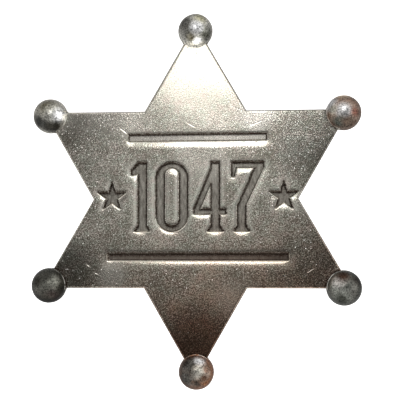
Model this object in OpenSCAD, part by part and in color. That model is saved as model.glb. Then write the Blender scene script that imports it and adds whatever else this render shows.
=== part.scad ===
// Six-pointed star badge with ball tips. It lies face up: +Z is out of its face, +Y is towards the
// top point, and z = 0 is the level that the six balls rest on.

/* [Star plate] */
// Radius of the circle that the ball centres lie on
ball_circle_r = 33.1; // [30:0.1:36]
// How far the plate's points, if they were sharp, would reach past the ball centres
point_past = 1.3; // [0.8:0.1:1.8]
// Thickness of the plate
plate_t = 1.5; // [1.2:0.1:2]
// Depth of the struck bars, figures and small stars
strike_depth = 0.5; // [0.3:0.05:0.7]

/* [Ball tips] */
// Diameter of each ball
ball_d = 6.8; // [6.4:0.1:7.6]
// Distance from a ball's centre to the clipped end of the point inside it
point_end = 0.4; // [0:0.1:0.6]
// Clearance between a point and the slot that it sits in
slot_gap = 0.05; // [0.03:0.01:0.1]
// How far the lower right ball sits round from its point, in degrees
low_ball_slip = 1.1; // [0:0.1:1.5]
// How far the bottom and lower left balls sit round from theirs, the other way, in degrees
low_pair_slip = 0.3; // [0:0.1:0.6]

/* [Struck bars] */
// Length of the bar above the figures
upper_bar_len = 26.8; // [22:0.2:30]
// Height of the upper bar's centre line above the middle of the star
upper_bar_y = 12; // [11:0.1:14]
// Turn of the upper bar, in degrees
upper_bar_turn = 0.1; // [0:0.1:1]
// Length of the bar below the figures
lower_bar_len = 34.8; // [28:0.2:38]
// Depth of the lower bar's centre line below the middle of the star
lower_bar_y = 11.2; // [9.5:0.1:13]
// Width of both bars
bar_w = 1.25; // [0.8:0.05:1.6]
// How far to the right of the star's middle the bars and the figures are struck
strike_x = 0.4; // [0:0.1:0.6]

/* [Struck figures] */
// Height of the figures
figure_h = 13.3; // [11:0.1:14]
// Height of the middle of the figures above the middle of the star
figures_y = 0.4; // [0:0.1:1.2]
// Width of a full figure
figure_w = 6.2; // [5:0.1:6.8]
// Thick strokes
stem_w = 1.65; // [1.2:0.05:1.9]
// Thin strokes
hair_w = 0.95; // [0.7:0.05:1.2]
// Width of a stem's flared foot
foot_w = 3; // [2.4:0.1:3.4]
// Height of the flare above a foot
flare_h = 1.1; // [0.8:0.1:1.6]
// Space between neighbours in the row
figure_gap = 1.15; // [0.7:0.05:1.3]
// Diameter of the small star at each end of the row
end_star_d = 5.6; // [4.6:0.1:5.8]

/* [Brooch pin] */
// Height of the pin above the middle of the star
pin_y = 6; // [3:0.5:8]
// Distance between the middles of the pin's two feet
pin_span = 27; // [22:0.5:30]
// Diameter of the pin's wire
wire_d = 0.9; // [0.8:0.05:1]
// Side of each square foot
foot_side = 5; // [4:0.5:6]
// Thickness of each foot
foot_t = 0.5; // [0.4:0.05:0.7]
// Wall of the catch
catch_t = 0.4; // [0.3:0.05:0.5]
// Width of the catch along the wire
catch_w = 3; // [2:0.5:4]
// Play between the wire and the inside of the catch
catch_play = 0.12; // [0.1:0.01:0.2]
// Diameter of the hinge barrel
barrel_d = 1.6; // [1.4:0.1:1.8]
// Length of the hinge barrel
barrel_len = 4; // [3:0.5:5]
// Length of the wire's tapered end
taper_len = 3; // [2:0.5:4]
// Diameter at the wire's point
point_d = 0.2; // [0.1:0.05:0.3]
// Clearance between the pin's lowest edge and the surface that the badge lies on
pin_lift = 0.15; // [0.1:0.05:0.2]
// Thickness of the film that holds each foot to the plate
film_t = 0.05; // [0.03:0.01:0.1]

/* [Hidden] */
$fn = 96;

points = 6;
point_step = 360 / points;
first_point = point_step / 2;
star_r = ball_circle_r + point_past;
mid_z = ball_d / 2;
front_z = mid_z + plate_t / 2;
back_z = mid_z - plate_t / 2;
clip_r = ball_circle_r + point_end;
// How far each ball sits round from its point, in the order of NODES.
ball_slips = [0, 0, 0, -low_pair_slip, -low_pair_slip, low_ball_slip];
over = 0.5;

wire_r = wire_d / 2;
catch_in_r = wire_r + catch_play;
catch_out_r = catch_in_r + catch_t;
catch_z = pin_lift + catch_out_r;
// The wire presses on the catch, so the two bite into each other a little there.
bite = 0.03;
wire_z = catch_z - catch_play - bite;
seat_z = back_z - film_t;
hinge_x = -pin_span / 2;
catch_x = pin_span / 2;

// Outline of the star with its sharp points at radius r and its clipped ends at radius end_r.
module star_outline(r, end_r) {
  notch_r = r / sqrt(3);
  half_end = (r - end_r) * tan(30);
  polygon([
    for (i = [0 : points - 1])
      let (a = first_point + i * point_step)
        each [
          end_r * [cos(a), sin(a)] + half_end * [sin(a), -cos(a)],
          end_r * [cos(a), sin(a)] - half_end * [sin(a), -cos(a)],
          notch_r * [cos(a + point_step / 2), sin(a + point_step / 2)]
        ]
  ]);
}

// A bar with its middle at the origin.
module bar(length) {
  square([length, bar_w], center = true);
}

// An upright shape with half-round ends and its foot on the X axis.
module round_ended(width, height) {
  r = width / 2;
  translate([0, r]) circle(r);
  translate([0, height - r]) circle(r);
  translate([-r, r]) square([width, height - width]);
}

// Flared foot of a stem whose middle is at x.
module stem_foot(x) {
  translate([x, 0])
    polygon([
      [-foot_w / 2, 0], [foot_w / 2, 0],
      [stem_w / 2, flare_h], [-stem_w / 2, flare_h]
    ]);
}

one_flag = 1.3;
one_flag_h = 2.4;
one_w = foot_w / 2 + stem_w / 2 + one_flag;

// The figure 1, from x = 0 to one_w.
module figure_one() {
  stem_x = stem_w / 2 + one_flag;
  stem_foot(stem_x);
  translate([stem_x - stem_w / 2, 0]) square([stem_w, figure_h]);
  polygon([
    [one_flag + stem_w / 2, figure_h], [one_flag, figure_h],
    [0, figure_h - one_flag_h + hair_w], [0, figure_h - one_flag_h],
    [one_flag + stem_w / 2, figure_h - one_flag_h + hair_w / 2]
  ]);
}

// The figure 0, from x = 0 to figure_w.
module figure_nought() {
  translate([figure_w / 2, 0])
    difference() {
      round_ended(figure_w, figure_h);
      translate([0, hair_w]) round_ended(figure_w - 2 * stem_w, figure_h - 2 * hair_w);
    }
}

four_bar_y = 3.3;
four_arm = 1.2;

// The figure 4, from x = 0 to figure_w.
module figure_four() {
  right = figure_w - four_arm;
  left = right - stem_w;
  slope = (figure_h - four_bar_y - hair_w) / (left + hair_w / 2);
  stem_foot(right - stem_w / 2);
  translate([left, 0]) square([stem_w, figure_h]);
  translate([0, four_bar_y]) square([figure_w, hair_w]);
  difference() {
    polygon([
      [0, four_bar_y], [0, four_bar_y + hair_w], [left + hair_w / 2, figure_h],
      [right, figure_h], [right, four_bar_y]
    ]);
    polygon([
      [hair_w * 1.25, four_bar_y + hair_w], [left, four_bar_y + hair_w],
      [left, four_bar_y + hair_w + (left - hair_w * 1.25) * slope]
    ]);
  }
}

seven_drop = 2.8;
seven_foot_x = 1.9;

// The figure 7, from x = 0 to figure_w.
module figure_seven() {
  stem_foot(seven_foot_x);
  translate([0, figure_h - hair_w]) square([figure_w, hair_w]);
  polygon([
    [0, figure_h - hair_w / 2], [0, figure_h - seven_drop],
    [hair_w / 2, figure_h - seven_drop], [hair_w, figure_h - hair_w]
  ]);
  polygon([
    [seven_foot_x - stem_w / 2, flare_h / 2], [seven_foot_x + stem_w / 2, flare_h / 2],
    [seven_foot_x + stem_w / 2, figure_h * 0.38], [figure_w, figure_h - hair_w],
    [figure_w, figure_h - hair_w / 2], [figure_w - stem_w, figure_h - hair_w / 2],
    [figure_w - stem_w * 1.05, figure_h - hair_w], [seven_foot_x - stem_w / 2, figure_h * 0.36]
  ]);
}

end_star_w = end_star_d * cos(18);

// A small five-pointed star from x = 0 to end_star_w, half way up the row.
module end_star() {
  inner = 0.382;
  translate([end_star_w / 2, figure_h / 2])
    polygon([
      for (i = [0 : 9])
        let (a = 90 + i * 36, r = end_star_d / 2 * (i % 2 == 0 ? 1 : inner))
          r * [cos(a), sin(a)]
    ]);
}

// The row of struck shapes: its widths in order, and where each one starts.
row_widths = [end_star_w, one_w, figure_w, figure_w, figure_w, end_star_w];
function row_start(i) = i == 0 ? 0 : row_start(i - 1) + row_widths[i - 1] + figure_gap;
row_w = row_start(len(row_widths) - 1) + end_star_w;

module row_shape(i) {
  if (i == 1) figure_one();
  else if (i == 2) figure_nought();
  else if (i == 3) figure_four();
  else if (i == 4) figure_seven();
  else end_star();
}

// Everything that is struck into the face, as one flat drawing.
module struck_shapes() {
  translate([strike_x, upper_bar_y]) rotate(upper_bar_turn) bar(upper_bar_len);
  translate([strike_x, -lower_bar_y]) bar(lower_bar_len);
  for (i = [0 : len(row_widths) - 1])
    translate([strike_x + row_start(i) - row_w / 2, figures_y - figure_h / 2]) row_shape(i);
}

module star_plate() {
  color("dimgray")
    difference() {
      translate([0, 0, back_z]) linear_extrude(plate_t) star_outline(star_r, clip_r);
      translate([0, 0, front_z - strike_depth])
        linear_extrude(strike_depth + over) struck_shapes();
    }
}

// One ball at the given angle round the star, slotted over a point with slot_gap all round.
module ball_tip(angle) {
  color("slategray")
    difference() {
      rotate(angle) translate([ball_circle_r, 0, mid_z]) sphere(d = ball_d);
      translate([0, 0, back_z - slot_gap])
        linear_extrude(plate_t + 2 * slot_gap)
          star_outline(star_r + 2 * slot_gap, clip_r + slot_gap);
    }
}

// A round rod along X.
module rod(x, length, d, end_d) {
  translate([x, pin_y, wire_z]) rotate([0, 90, 0]) cylinder(h = length, d1 = d, d2 = end_d);
}

module pin_foot(x) {
  translate([x - foot_side / 2, pin_y - foot_side / 2, seat_z - foot_t])
    cube([foot_side, foot_side, foot_t]);
}

// The hinge end: a barrel across the wire, on a block that rises to its foot.
module hinge_end() {
  pin_foot(hinge_x);
  translate([hinge_x, pin_y + barrel_len / 2, wire_z])
    rotate([90, 0, 0]) cylinder(h = barrel_len, d = barrel_d);
  translate([hinge_x - barrel_d / 2, pin_y - barrel_len / 2, wire_z])
    cube([barrel_d, barrel_len, seat_z - wire_z]);
}

// The catch: half a ring under the wire, with one side carried up to its foot.
module catch_end() {
  pin_foot(catch_x);
  translate([catch_x - catch_w / 2, pin_y, catch_z])
    difference() {
      rotate([0, 90, 0]) cylinder(h = catch_w, r = catch_out_r);
      translate([-over, 0, 0])
        rotate([0, 90, 0]) cylinder(h = catch_w + 2 * over, r = catch_in_r);
      translate([-over, -catch_out_r - over, 0])
        cube([catch_w + 2 * over, 2 * (catch_out_r + over), catch_out_r + over]);
    }
  translate([catch_x - catch_w / 2, pin_y - catch_out_r, catch_z])
    cube([catch_w, catch_t, seat_z - catch_z]);
}

module brooch_pin() {
  straight = pin_span + catch_w / 2;
  color("gray") {
    hinge_end();
    catch_end();
    rod(hinge_x, straight, wire_d, wire_d);
    rod(hinge_x + straight, taper_len, wire_d, point_d);
  }
}

star_plate();
for (i = [0 : points - 1])
  ball_tip(first_point + i * point_step - ball_slips[i]);
brooch_pin();
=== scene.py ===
"""Six-pointed star badge with ball tips: its meshes and finishes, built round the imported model.

Lengths are in metres in the model's own frame: +Z out of the face, +Y to the top point.
"""

import logging
import math
from abc import ABC, abstractmethod
from dataclasses import dataclass, field
from enum import Enum

import bmesh
import bpy
import numpy as np
from bmesh.types import BMEdge, BMesh, BMVert
from bpy.types import ID, Material, Mesh, NodeSocket, NodeTree, Object
from mathutils import Matrix, Vector, noise


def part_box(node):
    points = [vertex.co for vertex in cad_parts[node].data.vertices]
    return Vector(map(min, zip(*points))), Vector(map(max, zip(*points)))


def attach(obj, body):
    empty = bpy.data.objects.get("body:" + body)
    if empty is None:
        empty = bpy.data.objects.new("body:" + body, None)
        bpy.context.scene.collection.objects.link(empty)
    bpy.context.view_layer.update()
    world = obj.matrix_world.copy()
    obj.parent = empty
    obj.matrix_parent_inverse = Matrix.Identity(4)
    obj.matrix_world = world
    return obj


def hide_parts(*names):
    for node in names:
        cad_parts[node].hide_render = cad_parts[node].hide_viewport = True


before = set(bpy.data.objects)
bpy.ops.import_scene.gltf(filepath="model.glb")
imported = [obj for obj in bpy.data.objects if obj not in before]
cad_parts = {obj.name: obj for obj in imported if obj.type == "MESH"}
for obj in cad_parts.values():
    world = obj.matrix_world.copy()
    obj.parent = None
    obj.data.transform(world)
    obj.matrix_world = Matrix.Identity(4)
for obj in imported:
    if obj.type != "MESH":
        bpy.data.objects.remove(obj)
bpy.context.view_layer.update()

LOG = logging.getLogger("star_badge")
MM = 0.001
# What lies closer together than this is taken as one.
SAME = 0.001 * MM
ARMS = 6
ARM_STEP = math.tau / ARMS
FIRST_ARM = ARM_STEP / 2
HALF_POINT = math.radians(30)
BODY = "root"
Sockets = dict[str, NodeSocket]


class Slot(Enum):
    """Material slots of the record."""

    PLATE = "struck_plate"
    BALL = "polished_ball"
    PIN = "pin_steel"


def linear(colour: str) -> tuple[float, float, float, float]:
    """Turns an sRGB hex colour into the linear colour that shaders take.

    Args:
        colour: Six hex digits, with or without a leading hash.

    Returns:
        Red, green, blue and alpha, linear, from 0 to 1.
    """
    digits = colour.lstrip("#")
    parts = [int(digits[i : i + 2], 16) / 255 for i in (0, 2, 4)]
    low = [c / 12.92 if c <= 0.04045 else ((c + 0.055) / 1.055) ** 2.4 for c in parts]
    return (*low, 1.0)


def per_metre(size_mm: float) -> float:
    """Texture scale whose features are about size_mm across on Object coordinates."""
    return 1000.0 / size_mm


def add(tree: NodeTree, kind: str, *inputs: object, out: int | str = 0,
        **settings: object) -> NodeSocket | None:
    """Adds one shader node to a tree.

    Args:
        tree: The node tree.
        kind: The node's type name after ShaderNode.
        *inputs: Values or sockets for the inputs that it shows, in their order.
        out: Number or name of the wanted output, among those that it shows.
        **settings: Its properties, and inputs by name, with _ for a space. An input that is
            given None stays as it is.

    Returns:
        That output, or None where the node has none.
    """
    node = tree.nodes.new(f"ShaderNode{kind}")
    fed = []
    for name, value in settings.items():
        if hasattr(node, name):
            setattr(node, name, value)
        else:
            fed.append((node.inputs[name.replace("_", " ")], value))
    fed += zip((socket for socket in node.inputs if socket.enabled), inputs)
    for socket, value in fed:
        if isinstance(value, NodeSocket):
            tree.links.new(value, socket)
        elif value is not None:
            socket.default_value = value
    shown = [socket for socket in node.outputs if socket.enabled]
    return next((s for i, s in enumerate(shown) if out in (i, s.name)), None)


def soft_spot(tree: NodeTree, place: NodeSocket, middle: tuple | Vector,
              reach: tuple[float, float, float], turn: float = 0.0) -> NodeSocket:
    """Adds a round or oval spot that fades from 1 in its middle to 0 at its rim.

    Args:
        tree: The node tree.
        place: The shaded point's place.
        middle: The spot's middle.
        reach: Its reach along its own axes.
        turn: Its turn about Z, in degrees.

    Returns:
        The spot's strength.
    """
    moved = add(tree, "Mapping", place, middle, (0, 0, math.radians(turn)), reach,
                vector_type="TEXTURE")
    return add(tree, "TexGradient", moved, gradient_type="SPHERICAL", out="Fac")


def new_material(name: str) -> tuple[Material, NodeTree]:
    """Makes an empty node material.

    Args:
        name: The material's name.

    Returns:
        The material and its node tree.
    """
    material = bpy.data.materials.new(name)
    material.use_nodes = True
    material.node_tree.nodes.clear()
    return material, material.node_tree


def new_object(name: str, data: ID) -> Object:
    """Makes an object and links it to the scene.

    Args:
        name: The object's name.
        data: Its mesh, light or camera.

    Returns:
        The object.
    """
    made = bpy.data.objects.new(name, data)
    bpy.context.scene.collection.objects.link(made)
    return made


def finish_mesh(bm: BMesh, name: str, sharp: float) -> Object:
    """Turns a bmesh into a smooth-shaded object at the origin.

    Args:
        bm: The mesh, which is freed.
        name: The object's name.
        sharp: Angle above which an edge stays sharp, in degrees.

    Returns:
        The new object, linked to the scene.
    """
    bmesh.ops.recalc_face_normals(bm, faces=bm.faces[:])
    mesh = bpy.data.meshes.new(name)
    bm.to_mesh(mesh)
    bm.free()
    mesh.shade_smooth()
    mesh.set_sharp_from_angle(angle=math.radians(sharp))
    return new_object(name, mesh)


def whole(bm: BMesh) -> list:
    """All of a mesh's vertices, edges and faces."""
    return bm.verts[:] + bm.edges[:] + bm.faces[:]


def border(bm: BMesh) -> list[BMEdge]:
    """The edges of a mesh's open borders."""
    return [e for e in bm.edges if e.is_boundary]


def extrude(bm: BMesh, edges: list) -> list[BMVert]:
    """Extrudes edges in place.

    Args:
        bm: The mesh.
        edges: The edges.

    Returns:
        The new vertices, which lie on the old ones.
    """
    made = bmesh.ops.extrude_edge_only(bm, edges=edges)["geom"]
    return [g for g in made if isinstance(g, BMVert)]


def soften(bm: BMesh, edges: list, offset: float, segments: int, clamp: bool = False) -> None:
    """Rounds some edges.

    Args:
        bm: The mesh.
        edges: The edges.
        offset: How far the rounding reaches.
        segments: Its number of facets.
        clamp: Whether it stops where roundings would meet.
    """
    bmesh.ops.bevel(bm, geom=edges, offset=offset, segments=segments, profile=0.5,
                    affect="EDGES", material=-1, clamp_overlap=clamp)


def unit(angle: float) -> Vector:
    """Unit vector in the XY plane at an angle from +X, in radians."""
    return Vector((math.cos(angle), math.sin(angle), 0.0))


def ball_place(node: str) -> tuple[Vector, float]:
    """Works out where a ball is from its box, whose side towards the star the slot cuts short.

    Args:
        node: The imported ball's node.

    Returns:
        The ball's centre and radius.
    """
    low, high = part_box(node)
    radius = (high.z - low.z) / 2
    centre = (low + high) / 2
    for axis in (0, 1):
        if centre[axis] > 2 * radius:
            centre[axis] = high[axis] - radius
        elif centre[axis] < -2 * radius:
            centre[axis] = low[axis] + radius
    return centre, radius


@dataclass
class StruckOutline:
    """The edges of the struck floors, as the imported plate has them.

    Attributes:
        starts: First ends of the edges, one row of x and y each.
        ends: Second ends of the edges.
    """

    starts: np.ndarray
    ends: np.ndarray

    @classmethod
    def from_mesh(cls, mesh: Mesh, floor_z: float) -> "StruckOutline":
        """Reads the borders of the flat faces at one height.

        Args:
            mesh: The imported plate's mesh, which is loose triangles.
            floor_z: Height of the struck floors.

        Returns:
            The outline.
        """
        mesh.calc_loop_triangles()
        seen: dict[tuple, list] = {}
        for triangle in mesh.loop_triangles:
            corners = [mesh.vertices[i].co for i in triangle.vertices]
            if any(abs(c.z - floor_z) > SAME for c in corners):
                continue
            for a, b in zip(corners, corners[1:] + corners[:1]):
                key = tuple(sorted((round(p.x / MM, 3), round(p.y / MM, 3)) for p in (a, b)))
                seen.setdefault(key, []).append((a.xy[:], b.xy[:]))
        outer = [edges[0] for edges in seen.values() if len(edges) == 1]
        return cls(np.array([e[0] for e in outer]), np.array([e[1] for e in outer]))

    def distance(self, points: np.ndarray, far: float = 4.0 * MM) -> np.ndarray:
        """Works out how far points lie outside the struck floors.

        Args:
            points: Rows of x and y.
            far: Margin round the outline past which every point just gets this value.

        Returns:
            One distance a point, negative over a floor.
        """
        found = np.full(len(points), far)
        low = np.minimum(self.starts, self.ends).min(0) - far
        high = np.maximum(self.starts, self.ends).max(0) + far
        near = np.flatnonzero(((points > low) & (points < high)).all(1))
        along = self.ends - self.starts
        squares = (along ** 2).sum(1)
        rise = np.where(along[:, 1] == 0, 1e-12, along[:, 1])
        # A few thousand points at a time, to save memory.
        for part in np.array_split(near, max(1, len(near) // 6000)):
            rel = points[part][:, None, :] - self.starts[None]
            share = np.clip((rel * along).sum(2) / squares, 0, 1)
            gap = np.sqrt(((rel - share[..., None] * along) ** 2).sum(2).min(1))
            level = points[part][:, 1][:, None]
            crosses = (self.starts[:, 1] > level) != (self.ends[:, 1] > level)
            hit_x = self.starts[:, 0] + (level - self.starts[:, 1]) / rise * along[:, 0]
            inside = (crosses & (points[part][:, 0][:, None] < hit_x)).sum(1) % 2 == 1
            found[part] = np.minimum(np.where(inside, -gap, gap), far)
        return found


@dataclass(frozen=True)
class Scratch:
    """One bright scratch on the face.

    Attributes:
        x: Middle of the scratch, in millimetres from the star's middle.
        y: The same along Y.
        turn: Angle from +X, in degrees.
        length: Length, in millimetres.
        width: Width, in millimetres.
    """

    x: float
    y: float
    turn: float
    length: float
    width: float = 0.28


@dataclass(frozen=True)
class TarnishAndLightSpot:
    """A soft place on the face with its own tint. The set holds dulled and browned plating, a hazed
    smudge, painted highlights and painted shade.

    Attributes:
        x: Its middle, in millimetres from the star's middle.
        y: The same along Y.
        reach: How far it reaches, in millimetres.
        share: How strongly it shows.
        colour: Its colour.
        blend: How its colour is laid on.
    """

    x: float
    y: float
    reach: float
    share: float
    colour: str
    blend: str = "MIX"


@dataclass(frozen=True)
class StruckNickel:
    """Antique nickel plate over a struck blank.

    The die leaves a fine pebbled grain that sparkles, dark oxide stays in the struck floors, a grimy
    line of painted shade runs along their walls, and the plating is browner towards the bottom point.
    Highlights beside the figures and on the upper bar's floor, and soft spots of highlight and
    shade, are painted into the colour.

    Attributes:
        front_z: Height of the open face.
        metal: Colour of the plating where it is cleanest.
        patina: Colour of the plating where oxide dulls it.
        floor: Colour of the struck floors, which the die pressed smooth.
        streak: Colour of the file marks on them.
        upper_floor: Colour of the upper bar's floor, painted lighter as a highlight.
        lower_floor: Colour of the lower bar's floor, darker and browner.
        brown: Tint of the tarnish near the bottom point.
        soot_and_shade: Colour of the grimy line along the walls, which is also painted shade.
        speck_mm: Size of the oxide specks, a little coarser than real so that they show.
        pebble_mm: Size of the pebbles in the struck grain.
        glint_mm: Spacing of the bright facets.
        roughness: Roughness of the open face.
        scratches: The bright scratches.
        tarnish_and_light_spots: The dulled, browned and hazed places, and the painted highlights and
            painted shade.
    """

    front_z: float
    metal: str = "#FCF9F1"
    patina: str = "#8B8579"
    floor: str = "#C4BFB4"
    streak: str = "#79736A"
    upper_floor: str = "#E6E1D8"
    lower_floor: str = "#6B5245"
    brown: str = "#C19378"
    soot_and_shade: str = "#261B14"
    speck_mm: float = 0.24
    pebble_mm: float = 0.22
    glint_mm: float = 0.33
    roughness: float = 0.175
    scratches: tuple[Scratch, ...] = (
        Scratch(-13.9, 13.3, -38, 2.6),
        Scratch(-0.8, 14.4, -30, 2.4),
        Scratch(11.8, 14.6, 22, 2.8),
        Scratch(-20.7, -12.9, -35, 2.0, 0.2),
        Scratch(-19.1, -14.4, -22, 2.6, 0.24),
        Scratch(22.0, -13.8, 32, 2.2, 0.14),
        Scratch(8.0, 17.6, -24, 3.0, 0.2),
    )
    # The dark spots dull and brown the plating and also paint shade over the arms and the bottom point;
    # the light ones are mostly painted highlights, and the one on the lower left arm is a hazed smudge.
    tarnish_and_light_spots: tuple[TarnishAndLightSpot, ...] = (
        TarnishAndLightSpot(-25.0, -13.5, 8.0, 0.55, "#4F5453", "MULTIPLY"),
        TarnishAndLightSpot(0.0, -28.0, 11.0, 0.56, "#663924", "MULTIPLY"),
        TarnishAndLightSpot(20.0, -10.5, 8.0, 0.16, "#565856", "MULTIPLY"),
        TarnishAndLightSpot(23.0, 12.0, 12.0, 0.55, "#8B8D90", "MULTIPLY"),
        TarnishAndLightSpot(12.0, 16.0, 5.0, 0.35, "#FFFAF3"),
        TarnishAndLightSpot(-15.0, 17.0, 8.0, 0.5, "#F8F2E6"),
        TarnishAndLightSpot(2.0, 9.0, 9.0, 0.3, "#F4EEE2"),
        TarnishAndLightSpot(-16.3, -14.6, 4.0, 0.45, "#E4E0D6"),
        TarnishAndLightSpot(21.3, -1.2, 3.4, 0.3, "#F4EFE4"),
        TarnishAndLightSpot(-23.0, 17.0, 7.0, 0.36, "#F4EFE4"),
        TarnishAndLightSpot(8.0, -19.0, 6.0, 0.3, "#E0CDBC"),
    )

    def shared(self, tree: NodeTree) -> Sockets:
        """Adds what several of the effects read.

        Args:
            tree: The node tree.

        Returns:
            The shaded point's place, whole and as X, Y and Z, the plate's attributes, the
            noises, how smooth the metal is and how far it is open face.
        """
        place = add(tree, "TexCoord", out="Object")
        split = add(tree, "SeparateXYZ", place).node
        read = {"place": place} | {axis: split.outputs[axis] for axis in "XYZ"}
        for name in ("recess", "grime_and_shade", "pressed", "painted_sheen"):
            read[name] = add(tree, "Attribute", attribute_name=name, out="Fac")
        for name, size_mm, detail, rough in (
                ("specks", self.speck_mm, 2.0, 0.8), ("pebbles", self.pebble_mm, 1.0, 0.6),
                ("blotch", 5.0, 4.0, 0.6), ("hue", 1.6, 4.0, 0.75)):
            read[name] = add(tree, "TexNoise", place, per_metre(size_mm), detail, rough)
        # Handling keeps the top point as smooth as the metal that the die pressed.
        near_top = soft_spot(tree, place, (0, 25 * MM, 0), (18 * MM,) * 3)
        polish = add(tree, "MapRange", near_top, 0.05, 0.6, 0.0, 0.8)
        read["smooth"] = add(tree, "Math", read["pressed"], polish, operation="MAXIMUM")
        # The struck floors mostly lack the open face's grain and facets.
        read["open"] = add(tree, "Math", read["recess"], -0.8, 1.0, operation="MULTIPLY_ADD")
        return read

    def tarnish(self, tree: NodeTree, read: Sockets) -> NodeSocket:
        """Adds the brown tarnish, which grows towards the bottom point and the lower right arm.

        Args:
            tree: The node tree.
            read: What the effects share.

        Returns:
            The tarnish's share.
        """
        lower = add(tree, "Math", read["X"], -0.2, read["Y"], operation="MULTIPLY_ADD")
        down = add(tree, "MapRange", lower, -0.5 * MM, -30 * MM)
        edge = add(tree, "Math", read["blotch"], 0.9, 0.2, operation="MULTIPLY_ADD")
        edge = add(tree, "Math", read["specks"], -0.9, edge, operation="MULTIPLY_ADD")
        grown = add(tree, "Math", down, edge, operation="ADD")
        return add(tree, "MapRange", grown, 0.15, 1.25, 0.0, 0.8, interpolation_type="SMOOTHSTEP")

    def glints(self, tree: NodeTree, read: Sockets) -> NodeSocket:
        """Adds the bright facets, of which the upper arms have most and the bottom point fewest.

        Args:
            tree: The node tree.
            read: What the effects share.

        Returns:
            The facets' share.
        """
        cells = add(tree, "TexVoronoi", read["place"], per_metre(self.glint_mm)).node
        chance = add(tree, "SeparateColor", cells.outputs["Color"]).node
        aside = add(tree, "Math", read["X"], operation="ABSOLUTE")
        outward = add(tree, "Math", aside, read["Y"], operation="ADD")
        rich = add(tree, "MapRange", outward, 2 * MM, 34 * MM, 0.0, 0.26)
        poor = add(tree, "MapRange", read["Y"], -23 * MM, -17 * MM, -0.06, 0.0)
        luck = add(tree, "Math", rich, poor, operation="ADD")
        draw = add(tree, "Math", chance.outputs["Red"], luck, operation="ADD")
        glint = add(tree, "MapRange", draw, 0.87, 1.03)
        # Each facet's own draw also sets its size.
        spread = add(tree, "Math", chance.outputs["Green"], 0.22, 0.14, operation="MULTIPLY_ADD")
        dot = add(tree, "MapRange", cells.outputs["Distance"], spread, 0.06)
        in_front = add(tree, "MapRange", read["Z"], self.front_z - 1.2 * MM, self.front_z - 0.8 * MM)
        for share in (dot, read["open"], in_front):
            glint = add(tree, "Math", glint, share, operation="MULTIPLY")
        return glint

    def scratch_mask(self, tree: NodeTree, read: Sockets) -> NodeSocket:
        """Adds the scratches.

        Args:
            tree: The node tree.
            read: What the effects share.

        Returns:
            The scratches' share.
        """
        spots = [soft_spot(tree, read["place"], (mark.x * MM, mark.y * MM, self.front_z),
                           (mark.length / 2 * MM, mark.width / 2 * MM, MM), mark.turn)
                 for mark in self.scratches]
        mask = spots[0]
        for spot in spots[1:]:
            mask = add(tree, "Math", mask, spot, operation="MAXIMUM")
        return mask

    def floor_colour(self, tree: NodeTree, read: Sockets) -> NodeSocket:
        """Adds the colour of the struck floors.

        Args:
            tree: The node tree.
            read: What the effects share.

        Returns:
            The colour.
        """
        # The die's own file marks run down the floors as faint streaks.
        drawn = add(tree, "Mapping", read["place"], Scale=(1, 0.22, 1))
        lines = add(tree, "TexNoise", drawn, per_metre(0.45), 2.0, 0.7)
        between = add(tree, "MapRange", lines, 0.32, 0.62)
        colour = add(tree, "Mix", between, linear(self.streak), linear(self.floor), data_type="RGBA")
        # The upper bar's floor is painted lighter, a painted highlight; the lower bar's floor is darker
        # and browner.
        for edge_y, bar_colour, share in ((9 * MM, self.upper_floor, 0.6),
                                          (-8 * MM, self.lower_floor, 0.55)):
            there = add(tree, "MapRange", read["Y"], edge_y, edge_y * 1.1, 0.0, share)
            colour = add(tree, "Mix", there, colour, linear(bar_colour), data_type="RGBA")
        return colour

    def plating(self, tree: NodeTree, read: Sockets) -> NodeSocket:
        """Adds the open face's colour, from patina to clean metal by speck and blotch.

        Args:
            tree: The node tree.
            read: What the effects share.

        Returns:
            The colour.
        """
        clean = add(tree, "Math", read["blotch"], 0.3, read["specks"], operation="MULTIPLY_ADD")
        offset = add(tree, "Math", clean, 0.6825, operation="SUBTRACT")
        # The oxide is more broken up towards the bottom point.
        contrast = add(tree, "MapRange", read["Y"], 5 * MM, -12 * MM, 5.7, 9.0)
        share = add(tree, "Math", offset, contrast, 0.5, operation="MULTIPLY_ADD", use_clamp=True)
        even = add(tree, "Mix", read["smooth"], share, 0.4, data_type="FLOAT")
        # Painted highlight beside the figures lightens the plating there.
        bare = add(tree, "Math", read["painted_sheen"], 0.8, even, operation="MULTIPLY_ADD")
        return add(tree, "Mix", bare, linear(self.patina), linear(self.metal), data_type="RGBA")

    def layers(self, tree: NodeTree, read: Sockets) -> list[tuple]:
        """Adds what lies over the plating's own colour, up to the scratches and the grimy line of
        painted shade along the walls.

        Args:
            tree: The node tree.
            read: What the effects share.

        Returns:
            Each layer's share, blend and colour, from the lowest up.
        """
        # The oxide is olive in some places and rosy in others.
        rosy = add(tree, "MapRange", read["hue"], 0.38, 0.62)
        hue = add(tree, "Mix", rosy, linear("#FAFFF8"), linear("#FFF8F4"), data_type="RGBA")
        floored = add(tree, "Math", read["recess"], 0.85, operation="MULTIPLY")
        found = [(1.0, "MULTIPLY", hue), (floored, "MIX", self.floor_colour(tree, read)),
                 (self.tarnish(tree, read), "MULTIPLY", linear(self.brown))]
        ragged = add(tree, "Math", read["blotch"], 1.2, -0.6, operation="MULTIPLY_ADD")
        # Spots of dulled and browned plating, and of painted highlight and painted shade.
        for tinted_spot in self.tarnish_and_light_spots:
            spot = soft_spot(tree, read["place"], (tinted_spot.x * MM, tinted_spot.y * MM, self.front_z),
                             (tinted_spot.reach * MM,) * 3)
            edge = add(tree, "Math", ragged, spot, spot, operation="MULTIPLY_ADD")
            mask = add(tree, "MapRange", edge, 0.0, 0.7, 0.0, tinted_spot.share,
                       interpolation_type="SMOOTHSTEP")
            found.append((mask, tinted_spot.blend, linear(tinted_spot.colour)))
        scratched = add(tree, "Math", read["scratch"], 0.6, operation="MULTIPLY")
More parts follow.
